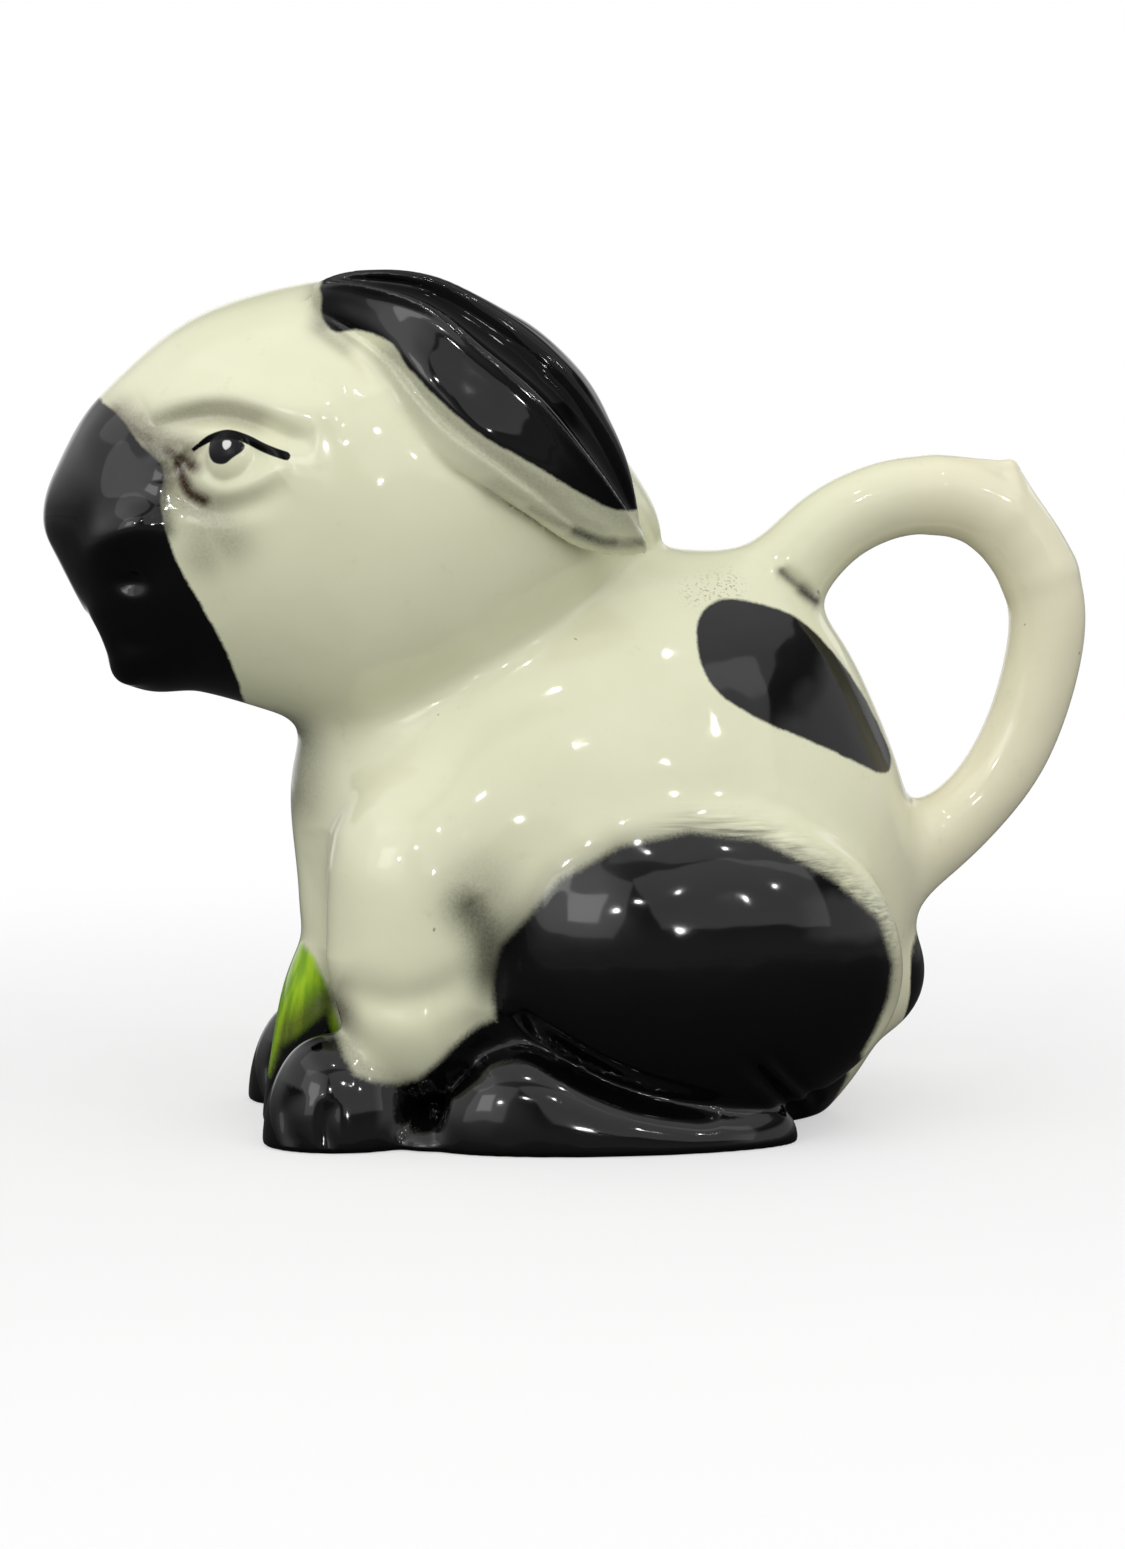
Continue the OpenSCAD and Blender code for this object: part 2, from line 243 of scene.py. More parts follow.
def ear(x, y, z):
    u, a, n, beyond = ear_place(x, y, z)
    end = np.sqrt(np.maximum(1 - (2 * u - 1) ** 8, 0.0)) * 0.97 + 0.03
    wide, thick = curve(EAR_WIDE, u) * end, curve(EAR_THICK, u) * end
    upper = sum(tall * bell(u, at, long) for tall, at, long in UPPER_EDGE)
    q = a / (wide * (1 - LOWER_EDGE * step(u, 0.45, 0.8) * step(a, 0.0, 4.0) + upper * step(a, 0.0, -4.0)))
    m = n + EAR_CURL * end * np.minimum(q * q, 1.5)
    sm = m / thick
    r = np.sqrt(q * q + sm * sm) + 1e-6
    slope = np.sqrt((q / wide) ** 2 + (sm / thick) ** 2) / r
    d = (r - 1) / np.maximum(slope, 1e-3)
    along = step(u, 0.02, 0.22) * step(u, 0.97, 0.74)
    dents = sum(tall * bell(q, at, broad) for tall, at, broad in EAR_FACE) * along
    d = d - dents * step(sm, -0.1, 0.5)
    return np.sqrt(np.maximum(d, 0) ** 2 + beyond ** 2) + np.minimum(d, 0)


# Flat maps over the plane of symmetry, sampled where they are needed
MAP_STEP = 0.25
map_x = np.arange(-76, 80, MAP_STEP)
map_z = np.arange(-8, 122, MAP_STEP)


def sample(table, x, z):
    fx = np.clip((x - map_x[0]) / MAP_STEP, 0, len(map_x) - 1.001)
    fz = np.clip((z - map_z[0]) / MAP_STEP, 0, len(map_z) - 1.001)
    i, k = fx.astype(int), fz.astype(int)
    a, b = fx - i, fz - k
    low = table[i, k] * (1 - a) + table[i + 1, k] * a
    high = table[i, k + 1] * (1 - a) + table[i + 1, k + 1] * a
    return low * (1 - b) + high * b


def smooth_line(points, fine=8, closed=False):
    p = np.asarray(points, float)
    n = len(p)
    out = []
    for i in range(n if closed else n - 1):
        a, b, c, d = [p[j % n] if closed else p[min(max(j, 0), n - 1)] for j in (i - 1, i, i + 1, i + 2)]
        for t in np.arange(fine) / fine:
            out.append(b + t * (c - a) / 2 + t * t * (a - 2.5 * b + 2 * c - d / 2)
                       + t ** 3 * (1.5 * (b - c) + (d - a) / 2))
    if not closed:
        out.append(p[-1])
    return np.array(out)


def line_gap(x, z, line, closed=False):
    """Distance from points to a line in the plane, and how far along it the nearest place is."""
    first, last = (line, np.roll(line, -1, 0)) if closed else (line[:-1], line[1:])
    best = np.full(x.shape, 1e9)
    along = np.zeros(x.shape)
    for i, (a, b) in enumerate(zip(first, last)):
        d = b - a
        t = np.clip(((x - a[0]) * d[0] + (z - a[1]) * d[1]) / max(d @ d, 1e-12), 0, 1)
        gap = (x - a[0] - t * d[0]) ** 2 + (z - a[1] - t * d[1]) ** 2
        nearer = gap < best
        best = np.where(nearer, gap, best)
        along = np.where(nearer, (i + t) / len(first), along)
    return np.sqrt(best), along


def area_gap(x, z, outline):
    """Distance to an outline in the plane, below zero inside it."""
    gap, _ = line_gap(x, z, outline, True)
    inside = np.zeros(x.shape, bool)
    for a, b in zip(outline, np.roll(outline, -1, 0)):
        if a[1] != b[1]:
            spans = (z < a[1]) != (z < b[1])
            inside ^= spans & (x < a[0] + (z - a[1]) * (b[0] - a[0]) / (b[1] - a[1]))
    return np.where(inside, -gap, gap)


# The handle lies in the plane of symmetry
HANDLE_STEPS, HANDLE_SMOOTHINGS = 121, 18
handle_u = np.linspace(0, 1, HANDLE_STEPS)
handle_line = np.stack([curve(HANDLE_X, handle_u), curve(HANDLE_Z, handle_u)], -1)
for _ in range(HANDLE_SMOOTHINGS):
    handle_line[1:-1] = (handle_line[:-2] + 2 * handle_line[1:-1] + handle_line[2:]) / 4
plane_x, plane_z = np.meshgrid(map_x, map_z, indexing="ij")
near_loop = (plane_x > 8) & (plane_z > 12)
FAR_FROM_LOOP, FAR_R = 60.0, 5.0
loop_gap = np.full(plane_x.shape, FAR_FROM_LOOP)
loop_r = np.full(plane_x.shape, FAR_R)
gap_there, along_there = line_gap(plane_x[near_loop], plane_z[near_loop], handle_line)
loop_gap[near_loop] = gap_there
loop_r[near_loop] = curve(HANDLE_R, along_there)


def handle_at(u):
    u = np.array([u])
    return np.array([curve(HANDLE_X, u)[0], curve(HANDLE_Z, u)[0]]), curve(HANDLE_R, u)[0]


thumb_tip = handle_at(THUMB_PLACES[1])[0] + (THUMB_H - THUMB_TIP_R) * np.array([THUMB_LEAN, 1.0])


def round_cone(x, y, z, a, ra, b, rb):
    """Distance to the hull of two balls whose middles, a and b, lie in the plane of symmetry."""
    d = b - a
    long = np.sqrt(d @ d)
    t = ((x - a[0]) * d[0] + (z - a[1]) * d[1]) / long
    s = np.sqrt(((x - a[0]) * d[1] - (z - a[1]) * d[0]) ** 2 / long ** 2 + y * y)
    sine = (ra - rb) / long
    cosine = math.sqrt(1 - sine * sine)
    foot = t - s * sine / cosine
    side = s * cosine + t * sine - ra
    return np.where(foot < 0, np.sqrt(s * s + t * t) - ra,
                    np.where(foot > long, np.sqrt(s * s + (t - long) ** 2) - rb, side))


def handle(x, y, z):
    d = np.sqrt(sample(loop_gap, x, z) ** 2 + y * y) - sample(loop_r, x, z)
    for place in THUMB_PLACES:
        at, r = handle_at(place)
        d = join(d, round_cone(x, y, z, at, r, thumb_tip, THUMB_TIP_R), 1.0)
    return d


# How softly the forms flow into each other, in millimetres
LIP_FLOW, MUZZLE_FLOW, HEAD_FLOW, LEG_FLOW, HAUNCH_FLOW = 3.0, 4.5, 7.0, 9.0, 5.0
FOOT_FLOW, WEB_FLOW, LEAF_FLOW, FEET_FLOW, TAIL_FLOW, HANDLE_FLOW = 4.5, 2.5, 4.0, 3.2, 3.5, 6.0
WING_FLOW, EYE_FLOW, HOLLOW_RIM, MOUTH_RIM, STAND_RIM = 5.0, 0.5, 1.6, 0.9, 1.2


def inner_hollow(x, y, z):
    hollow = join(cut(torso(x, y, z, -WALL), FLOOR - z, 2.0), head(x, y, z, -WALL), 3.0)
    fill = (np.sqrt(((x - FILL_X) / (FILL_L / 2)) ** 2 + (y / (FILL_W / 2)) ** 2) - 1) * FILL_W / 2
    return join(hollow, cut(fill, HEAD_Z - z, 1.0), 1.5)


def mouth(x, y, z):
    d = (np.sqrt(((z - MOUTH_Z) / (MOUTH_H / 2)) ** 2 + (y / (MOUTH_W / 2)) ** 2) - 1) * MOUTH_H / 2
    return cut(d, x - (HEAD_X - HEAD_HALF + 22), 1.0)


def forms(x, y, z):
    """The blended outer surface, before any detail."""
    lips = round_cone(x, np.abs(y) - LIP_Y, z, LIP_TOP, LIP_R, LIP_LOW, LIP_R)
    jaw = np.sqrt((x - JAW_X) ** 2 + np.maximum(np.abs(y) - JAW_SPAN, 0) ** 2 + (z - JAW_Z) ** 2) - JAW_R
    d = join(torso(x, y, z), join(head(x, y, z), join(lips, jaw, LIP_FLOW), MUZZLE_FLOW), HEAD_FLOW)
    d = join(d, foreleg(x, y, z), LEG_FLOW)
    d = join(d, haunch(x, y, z), HAUNCH_FLOW)
    feet = join(join(paw(x, y, z), hind_foot(x, y, z), FOOT_FLOW), web(x, y, z), WEB_FLOW)
    d = join(d, join(feet, leaf(x, y, z), LEAF_FLOW), FEET_FLOW)
    d = join(d, tail(x, y, z), TAIL_FLOW)
    return join(d, handle(x, y, z), HANDLE_FLOW)


FAR_FROM_EAR = 12.0


def ear_field(x, y, z):
    """Distance to the ear where it is near, and a fixed distance elsewhere."""
    x, y, z = np.broadcast_arrays(x, y, z)
    d = np.full(x.shape, FAR_FROM_EAR)
    near = (x > -42) & (x < 20) & (z > 64) & (np.abs(y) > 2)
    if near.any():
        d[near] = np.minimum(ear(x[near], y[near], z[near]), FAR_FROM_EAR)
    return d


def with_ears(d, x, y, z):
    """Joins the ears on, more softly at their roots."""
    return join(d, ear_field(x, y, z), 1.6 + 2.0 * step(x, -25, -31))


def eared(x, y, z):
    return with_ears(forms(x, y, z), x, y, z)


RAY_STEPS, RAY_SHARE, RAY_BEFORE, RAY_BEYOND = 50, 0.8, 60.0, 20.0


def met_by_camera(pixels, field=forms):
    """Where the blended surface is met by rays through the photograph's pixels."""
    p = np.asarray(pixels, float)
    ray = (-to_camera[None] * PIXELS_PER_RADIAN + (p[:, :1] - FRAME_W / 2) * right_way[None]
           - (p[:, 1:] - FRAME_H / 2) * up_way[None])
    ray /= np.linalg.norm(ray, axis=1)[:, None]
    far = np.full(len(p), DISTANCE - RAY_BEFORE)
    for _ in range(RAY_STEPS):
        q = eye_point + far[:, None] * ray
        far = np.minimum(far + RAY_SHARE * field(q[:, 0], q[:, 1], q[:, 2]), DISTANCE + RAY_BEYOND)
    return eye_point + far[:, None] * ray


def seen_from_camera(pixels, field=forms):
    """The same, as places in the plane of symmetry."""
    return met_by_camera(pixels, field)[:, [0, 2]]


# The nose: a wing on each side, with a nostril under it
wing_at, nostril_at = met_by_camera([(146, 527), (130, 582)])
WING_SIZE, WING_DEEP, WING_ARCH, ARCH_END = (5.5, 4.5, 3.2), 3.1, 0.05, 100
NOSTRIL_SIZE, NOSTRIL_DEEP, NOSTRIL_EDGE = (3.0, 3.0, 2.0), 1.6, 0.65


def reach(x, y, z, at, size):
    """Distance from a place on the near side, or its twin, as a share of a size."""
    return np.sqrt(((x - at[0]) / size[0]) ** 2 + ((-np.abs(y) - at[1]) / size[1]) ** 2
                   + ((z - at[2]) / size[2]) ** 2)


# Details pressed into the clay: places in the photograph, width in millimetres, height in millimetres
PRESSED = {
    "brow": ([(150, 416), (182, 402), (233, 397), (290, 408), (345, 411)], 2.8, 1.3),
    "brow_crease": ([(146, 438), (172, 423), (217, 416), (253, 424), (287, 437), (316, 442)], 1.4, -1.7),
    "upper_lid": ([(186, 449), (207, 434), (232, 429), (260, 437), (286, 450)], 1.3, 0.9),
    "lower_lid": ([(192, 472), (206, 488), (222, 494), (247, 487), (270, 474), (288, 460)], 1.6, 1.1),
    "under_eye": ([(172, 458), (179, 483), (198, 502), (226, 508), (262, 499), (286, 482)], 1.8, -1.1),
    "inner_corner": ([(180, 456), (194, 466)], 1.5, -0.9),
    "lip_line": ([(112, 640), (140, 642), (166, 650)], 1.3, -0.3),
    "muzzle_edge": ([(172, 480), (174, 520), (190, 575), (214, 630)], 3.5, -0.5),
    "ear_root": ([(300, 318), (325, 330), (350, 347), (372, 374), (380, 390)], 1.5, -0.9),
    "behind_ear": ([(400, 402), (440, 447), (490, 484), (540, 514), (580, 538), (620, 554), (652, 552)], 1.8, -0.9),
    "wrist": ([(338, 984), (365, 996), (405, 1003), (445, 990), (475, 968)], 2.4, -1.0),
    "cuff": ([(352, 1030), (400, 1040), (440, 1030)], 5.0, 0.7),
    "elbow": ([(470, 900), (492, 935), (500, 970), (495, 1010)], 2.8, -1.3),
    "shoulder_front": ([(318, 830), (330, 900), (338, 960)], 2.4, -0.6),
    "foot_groove": ([(500, 1008), (540, 1040), (590, 1072), (640, 1094), (720, 1113)], 1.8, -1.5),
    "heel_a": ([(745, 1058), (775, 1088), (806, 1116)], 1.2, -1.1),
    "heel_b": ([(768, 1050), (795, 1080), (822, 1102)], 1.2, -0.9),
    "heel_c": ([(757, 1054), (785, 1084), (814, 1109)], 1.0, 0.5),
    "toe_a": ([(452, 1096), (468, 1078), (490, 1072)], 1.0, -0.45),
    "paw_a": ([(296, 1088), (288, 1115), (290, 1148)], 1.1, -0.6),
    "paw_b": ([(330, 1100), (326, 1128), (330, 1155)], 1.1, -0.6),
    "handle_root": ([(781, 570), (795, 582), (815, 600)], 1.1, -1.1),
}
relief = np.zeros(plane_x.shape)
for points, wide, height in PRESSED.values():
    line = seen_from_camera(smooth_line(points, 6))
    lo, hi = line.min(0) - 3 * wide, line.max(0) + 3 * wide
    i = slice(*np.searchsorted(map_x, [lo[0], hi[0]]))
    k = slice(*np.searchsorted(map_z, [lo[1], hi[1]]))
    gap, along = line_gap(plane_x[i, k], plane_z[i, k], line)
    relief[i, k] += height * bell(gap, 0, wide) * (1 - (2 * along - 1) ** 2)


def surface(x, y, z):
    """The whole piece of pottery: below zero inside the clay."""
    d = forms(x, y, z)
    outward = step(np.abs(y), 1.0, 6.0)
    arched = z + WING_ARCH * np.minimum((x - wing_at[0]) ** 2, ARCH_END)
    wing = (reach(x, y, arched, wing_at + [0, WING_DEEP, 0], WING_SIZE) - 1) * min(WING_SIZE)
    pit = NOSTRIL_DEEP * bell(reach(x, y, z, nostril_at, NOSTRIL_SIZE), 0, NOSTRIL_EDGE)
    d = join(d, wing, WING_FLOW) + pit
    d = d - sample(relief, x, z) * outward
    d = with_ears(d, x, y, z)
    d = join(d, eyeball(x, y, z), EYE_FLOW)
    d = cut(d, -inner_hollow(x, y, z), HOLLOW_RIM)
    d = cut(d, -mouth(x, y, z), MOUTH_RIM)
    return cut(d, -z, STAND_RIM)


# Pieces, in the order in which they are parted
PIECES = ["body_shell", "base_plate", "head_shell", "ear", "eye", "handle", "tail", "foreleg", "forepaw",
          "haunch", "hind_foot", "lettuce_leaf"]
PAIRED = {"ear", "eye", "foreleg", "forepaw", "haunch", "hind_foot"}


def parted(x, y, z):
    """The number in PIECES of the piece that each place belongs to."""
    body, skull = torso(x, y, z), head(x, y, z)
    foot, fore = hind_foot(x, y, z), foreleg(x, y, z)
    claw = paw(x, y, z)
    gaps = [body, np.full(1, 99.0), skull, ear_field(x, y, z), eyeball(x, y, z), handle(x, y, z), tail(x, y, z),
            fore, claw, haunch(x, y, z), foot, leaf(x, y, z)]
    gaps = np.stack(np.broadcast_arrays(*gaps))
    name = gaps.argmin(0)
    inside = {n: gaps[i] < 0 for i, n in enumerate(PIECES)}
    order = ["lettuce_leaf", "hind_foot", "haunch", "foreleg", "forepaw", "tail", "handle", "ear", "eye"]
    for n in order:
        name[inside[n]] = PIECES.index(n)
    name[inside["haunch"] & inside["hind_foot"]] = PIECES.index("hind_foot")
    name[inside["foreleg"] & inside["forepaw"]] = PIECES.index("forepaw")
    name[inside["foreleg"] & inside["hind_foot"] & ~inside["forepaw"]] = PIECES.index("foreleg")
    name[inside["head_shell"]] = PIECES.index("head_shell")
    name[inside["body_shell"]] = PIECES.index("body_shell")
    x, y, z = np.broadcast_arrays(x, y, z)
    plate = ((x / (PLATE_L / 2)) ** 2 + (y / (PLATE_W / 2)) ** 2 < 1) & (z < FLOOR)
    name[plate] = PIECES.index("base_plate")
    return name


def axis(stretches):
    """Grid places along an axis, from stretches of (start, end, spacing)."""
    out = []
    for a, b, s in stretches:
        n = max(1, round((b - a) / s))
        out.append(a + (b - a) * np.arange(n) / n)
    out.append([stretches[-1][1]])
    return np.concatenate(out)


# The grid is finer over the head
COARSE, FINE, HALF_COUNT, PARTING_ROUNDS = 0.7, 0.38, 51, 8
grid_x = axis([(-72, -26, FINE), (-26, 75.4, COARSE)])
grid_z = axis([(-1.75, 58, COARSE), (58, 112, FINE), (112, 116, COARSE)])
half_y = COARSE / 2 + COARSE * np.arange(HALF_COUNT)
gx, gy, gz = grid_x[:, None, None], half_y[None, :, None], grid_z[None, None, :]
clay = surface(gx, gy, gz)
near_clay = clay < 0
label_half = np.zeros(clay.shape, np.int16)
bx, by, bz = np.broadcast_arrays(gx, gy, gz)
label_half[near_clay] = parted(bx[near_clay], by[near_clay], bz[near_clay]) + 1
grid_y = np.concatenate([-half_y[::-1], half_y])
clay = np.concatenate([clay[:, ::-1], clay], 1)
other = label_half.copy()
for n in PAIRED:
    other[label_half == PIECES.index(n) + 1] = len(PIECES) + PIECES.index(n) + 1
label = np.concatenate([label_half[:, ::-1], other], 1)
# The low numbers are the pieces on the -Y side and in the middle, and the high ones their twins on the +Y side

# Stray grains go to the piece around them, and grains that would meet along an edge alone are joined,
# so that each piece is one closed body
AXES = np.eye(3, dtype=int)
WAYS = np.concatenate([AXES, -AXES])
for _ in range(PARTING_ROUNDS):
    alike = sum((np.roll(label, tuple(w), (0, 1, 2)) == label).astype(np.int8) for w in WAYS)
    for at in np.argwhere((label > 0) & (alike < 2)):
        around = [label[tuple(at + w)] for w in WAYS]
        around = sorted(n for n in around if n not in (0, label[tuple(at)]))
        if around:
            label[tuple(at)] = max(around, key=around.count)
    for one, two in ((AXES[0], AXES[1]), (AXES[1], AXES[2]), (AXES[2], AXES[0])):
        b, c = np.roll(label, tuple(-one), (0, 1, 2)), np.roll(label, tuple(-two), (0, 1, 2))
        d = np.roll(label, tuple(-one - two), (0, 1, 2))
        pinches = [(at, at + one + two, at + one, at + two)
                   for at in np.argwhere((label == d) & (label > 0) & (b != label) & (c != label))]
        pinches += [(at + one, at + two, at, at + one + two)
                    for at in np.argwhere((b == c) & (b > 0) & (label != b) & (d != b))]
        for first, second, third, fourth in pinches:
            kept = label[tuple(first)]
            if label[tuple(second)] == kept and kept not in (label[tuple(third)], label[tuple(fourth)]):
                label[tuple(min((third, fourth), key=lambda spot: clay[tuple(spot)]))] = kept


# Surface nets: one corner of the skin in each cell that more than one piece, or a piece and the air, share
corners = [label[i:label.shape[0] - 1 + i, j:label.shape[1] - 1 + j, k:label.shape[2] - 1 + k]
           for i in (0, 1) for j in (0, 1) for k in (0, 1)]
low, high = np.minimum.reduce(corners), np.maximum.reduce(corners)
cells = np.argwhere(low != high)
number = np.full(low.shape, -1, np.int32)
number[tuple(cells.T)] = np.arange(len(cells))
cell_label = np.stack([c[tuple(cells.T)] for c in corners], 1)
offsets = np.array([(i, j, k) for i in (0, 1) for j in (0, 1) for k in (0, 1)])
cell_clay = np.stack([clay[tuple((cells + o).T)] for o in offsets], 1)
place = np.zeros((len(cells), 3))
count = np.zeros(len(cells))
spots = np.stack([np.stack([grid_x[(cells + o)[:, 0]], grid_y[(cells + o)[:, 1]], grid_z[(cells + o)[:, 2]]], 1)
                  for o in offsets], 1)
for a in range(8):
    for b in range(a + 1, 8):
        if np.abs(offsets[a] - offsets[b]).sum() == 1:
            differ = cell_label[:, a] != cell_label[:, b]
            fa, fb = cell_clay[:, a], cell_clay[:, b]
            crosses = (fa < 0) != (fb < 0)
            t = np.where(crosses, fa / np.where(crosses, fa - fb, 1), 0.5)[:, None]
            place += np.where(differ[:, None], spots[:, a] * (1 - t) + spots[:, b] * t, 0)
            count += differ
place /= count[:, None]
on_skin = (cell_label == 0).any(1)
kinds = np.sort(cell_label, 1)
distinct = (np.diff(kinds, axis=1) != 0).sum(1) + 1
on_joint = on_skin & (distinct > 2)

quads, sides = [], []
for ax in range(3):
    u, v = [(1, 2), (2, 0), (0, 1)][ax]
    inner = [slice(1, -1)] * 3
    first, second = list(inner), list(inner)
    first[ax], second[ax] = slice(None, -1), slice(1, None)
    a, b = label[tuple(first)], label[tuple(second)]
    at = np.argwhere(a != b)
    pair = np.stack([a[tuple(at.T)], b[tuple(at.T)]], 1)
    at[:, u] += 1
    at[:, v] += 1
    ring = []
    for du, dv in ((-1, -1), (0, -1), (0, 0), (-1, 0)):
        c = at.copy()
        c[:, u] += du
        c[:, v] += dv
        ring.append(number[tuple(c.T)])
    quads.append(np.stack(ring, 1))
    sides.append(pair)
quads, sides = np.concatenate(quads), np.concatenate(sides)


def slope_of(p):
    e = MAP_STEP
    x, y, z = p.T
    return np.stack([surface(x + e, y, z) - surface(x - e, y, z), surface(x, y + e, z) - surface(x, y - e, z),
                     surface(x, y, z + e) - surface(x, y, z - e)], 1) / (2 * e)


def settle(p, times):
    """Moves points along the slope until they lie on the skin."""
    for _ in range(times):
        g = slope_of(p)
        f = surface(*p.T)
        move = f[:, None] * g / np.maximum((g * g).sum(1), 0.04)[:, None]
        size = np.linalg.norm(move, axis=1)[:, None]
        p = p - move * np.minimum(1, 0.5 / np.maximum(size, 1e-9))
    return p


edges = np.concatenate([quads[:, [0, 1]], quads[:, [1, 2]], quads[:, [2, 3]], quads[:, [3, 0]]])
skin_quad = np.tile((sides == 0).any(1), 4)
edges = np.sort(edges, 1)


def neighbours(chosen):
    e = np.unique(edges[chosen], axis=0)
    return np.concatenate([e[:, 0], e[:, 1]]), np.concatenate([e[:, 1], e[:, 0]])


joint_edge = on_joint[edges[:, 0]] & on_joint[edges[:, 1]]
groups = [(on_skin & ~on_joint, neighbours(skin_quad)), (on_joint, neighbours(joint_edge)),
          (~on_skin, neighbours(np.ones(len(edges), bool)))]


def relax(p, times):
    """Evens out the corners, those of skin, joints and inner walls each among themselves."""
    for _ in range(times):
        q = p.copy()
        for mine, (a, b) in groups:
            n = np.bincount(a, minlength=len(p))
            mean = np.stack([np.bincount(a, p[b, c], minlength=len(p)) for c in range(3)], 1)
            go = mine & (n > 1)
            q[go] = 0.4 * p[go] + 0.6 * mean[go] / n[go][:, None]
        p = q
    return p


place = relax(place, 3)
place[on_skin] = settle(place[on_skin], 2)
place = relax(place, 1)
place[on_skin] = settle(place[on_skin], 2)
normal = np.zeros((len(cells), 3))
normal[on_skin] = slope_of(place[on_skin])
normal /= np.maximum(np.linalg.norm(normal, axis=1), 1e-9)[:, None]
outer = (sides == 0).any(1)
ring = place[quads[outer]]
flat = np.cross(ring[:, 2] - ring[:, 0], ring[:, 3] - ring[:, 1]) * np.where(sides[outer, 0] == 0, -1, 1)[:, None]
lean = np.stack([sum(np.bincount(quads[outer, i], flat[:, c], len(cells)) for i in range(4)) for c in range(3)], 1)
lean /= np.maximum(np.linalg.norm(lean, axis=1), 1e-9)[:, None]
# Where the slope and the faces disagree, the corners are eased and follow the faces
AGREE = 0.85
odd = on_skin & ((normal * lean).sum(1) < AGREE)
for _ in range(3):
    place[odd] = relax(place, 1)[odd]
normal[odd] = lean[odd]

# Paint: outlines seen in the photograph, held as distances to their edges
MUZZLE = [(103, 403), (122, 420), (142, 446), (163, 470), (160, 500), (165, 530), (181, 570), (205, 612), (226, 652),
          (242, 697), (230, 720), (20, 740), (0, 560), (10, 440), (60, 380)]
EAR_BLACK = [(322, 296), (323, 318), (336, 332), (362, 330), (392, 344), (407, 366), (441, 401), (480, 434),
             (534, 465), (572, 488), (604, 505), (626, 511), (645, 505), (668, 480), (650, 400), (580, 320),
             (500, 265), (400, 240), (322, 262)]
BACK_PATCH = [(712, 603), (740, 600), (790, 614), (822, 640), (860, 690), (888, 748), (889, 771), (872, 770),
              (850, 759), (810, 741), (757, 718), (716, 690), (699, 655), (698, 622)]
HIND_BLACK = [(491, 1006), (494, 976), (502, 947), (524, 922), (561, 880), (620, 847), (690, 832), (760, 841),
              (830, 878), (878, 920), (892, 965), (888, 998), (877, 1026), (862, 1053), (848, 1076),
              (834, 1100), (828, 1190), (140, 1190), (140, 1080), (262, 1056), (280, 1046), (306, 1028), (327, 1010),
              (332, 1028), (343, 1054), (354, 1074), (372, 1081), (398, 1084), (417, 1080), (443, 1058), (472, 1028)]
LID_LINE = [(193, 450), (201, 444), (211, 438), (228, 434), (246, 439), (262, 447), (274, 452), (286, 456)]
IRIS = [(209, 446), (213, 438), (228, 436), (243, 443), (243, 450), (232, 458), (224, 464), (214, 463), (209, 456)]
# A painted highlight on the eye
GLINT = [(223, 441), (230, 441), (230, 446), (225, 450), (222, 446)]
# How far the paint runs past a form, and where it ends, in millimetres
EAR_OVER, EAR_ROOT_OVER, EAR_TIP_ROUND, EAR_TIP_Y = 0.6, 5.6, 0.06, 17.5
TAIL_OVER, TAIL_BLACK_X = 0.6, 46.5
HAUNCH_OVER, LEAF_OVER, FEET_OVER, LOW_BLACK, HIND_ROUND = 2.5, 1.5, 4.0, 15, 1.5
PAW_OVER, PAW_BLACK_X = 0.7, -33
GREEN_OVER, GREEN_FAR, GREEN_HALF = 0.5, 4.0, 12
LID_THIN, LID_MORE = 0.26, 0.3
GROOVE_SHADE_AT, GROOVE_SHADE_WIDE = -0.36, 0.33

x, y, z = place.T
paint = {}


def tuned(pixels, field=forms):
    """A smooth outline through pixels, in the plane of symmetry."""
    return seen_from_camera(smooth_line(pixels, 4, True), field)


near_ear = ear_field(x, y, z)
black = area_gap(x, z, tuned(MUZZLE))
beside = near_ear - EAR_OVER - EAR_ROOT_OVER * step(x, -22, -27) * step(np.abs(y), 12, 16)
rounded = z - EAR_TIP_ROUND * np.maximum(EAR_TIP_Y - np.abs(y), 0) ** 2 * step(x, -10, 0)
black = np.minimum(black, np.maximum(area_gap(x, rounded, tuned(EAR_BLACK, eared)), beside))
black = np.minimum(black, area_gap(x, z, tuned(BACK_PATCH)))
black = np.minimum(black, np.maximum(tail(x, y, z) - TAIL_OVER, TAIL_BLACK_X - x))
# The ear's deep groove: a mask that dulls the glaze's reflection there, painted shade standing in for the groove's
# own shadow
pit = np.zeros(len(cells))
eary = near_ear < 2
u, a, _, _ = ear_place(x[eary], y[eary], z[eary])
pit[eary] = bell(a / curve(EAR_WIDE, u), GROOVE_SHADE_AT, GROOVE_SHADE_WIDE) * step(u, 0.06, 0.2) * step(u, 0.99, 0.85)
paint["pit"] = pit
lid, lid_at = line_gap(x, z, seen_from_camera(smooth_line(LID_LINE, 6)))
paint["lid_edge"] = lid - LID_THIN - LID_MORE * step(lid_at, 0.0, 0.45)
paint["black_edge"] = black
limbs = np.minimum(haunch(x, y, z) - HAUNCH_OVER, leaf(x, y, z) - LEAF_OVER)
limbs = np.minimum(limbs, np.minimum(hind_foot(x, y, z), paw(x, y, z)) - FEET_OVER)
limbs = join(limbs, z - LOW_BLACK * step(np.abs(y), 2, 10), 2.0)
hind = cut(area_gap(x, z, seen_from_camera(HIND_BLACK)), limbs, HIND_ROUND)
paint["hind_edge"] = np.minimum(hind, np.maximum(paw(x, y, z) - PAW_OVER, x - PAW_BLACK_X))
paint["brushed"] = step(z, 20, 30) * step(x, 4, 18)
paint["hazy"] = step(z, 12, 22)
paint["iris_edge"] = area_gap(x, z, tuned(IRIS))
paint["glint_edge"] = area_gap(x, z, tuned(GLINT))
green = np.minimum(leaf(x, y, z) - GREEN_OVER, GREEN_FAR)
paint["leaf_edge"] = np.maximum(green, np.abs(y) - GREEN_HALF)
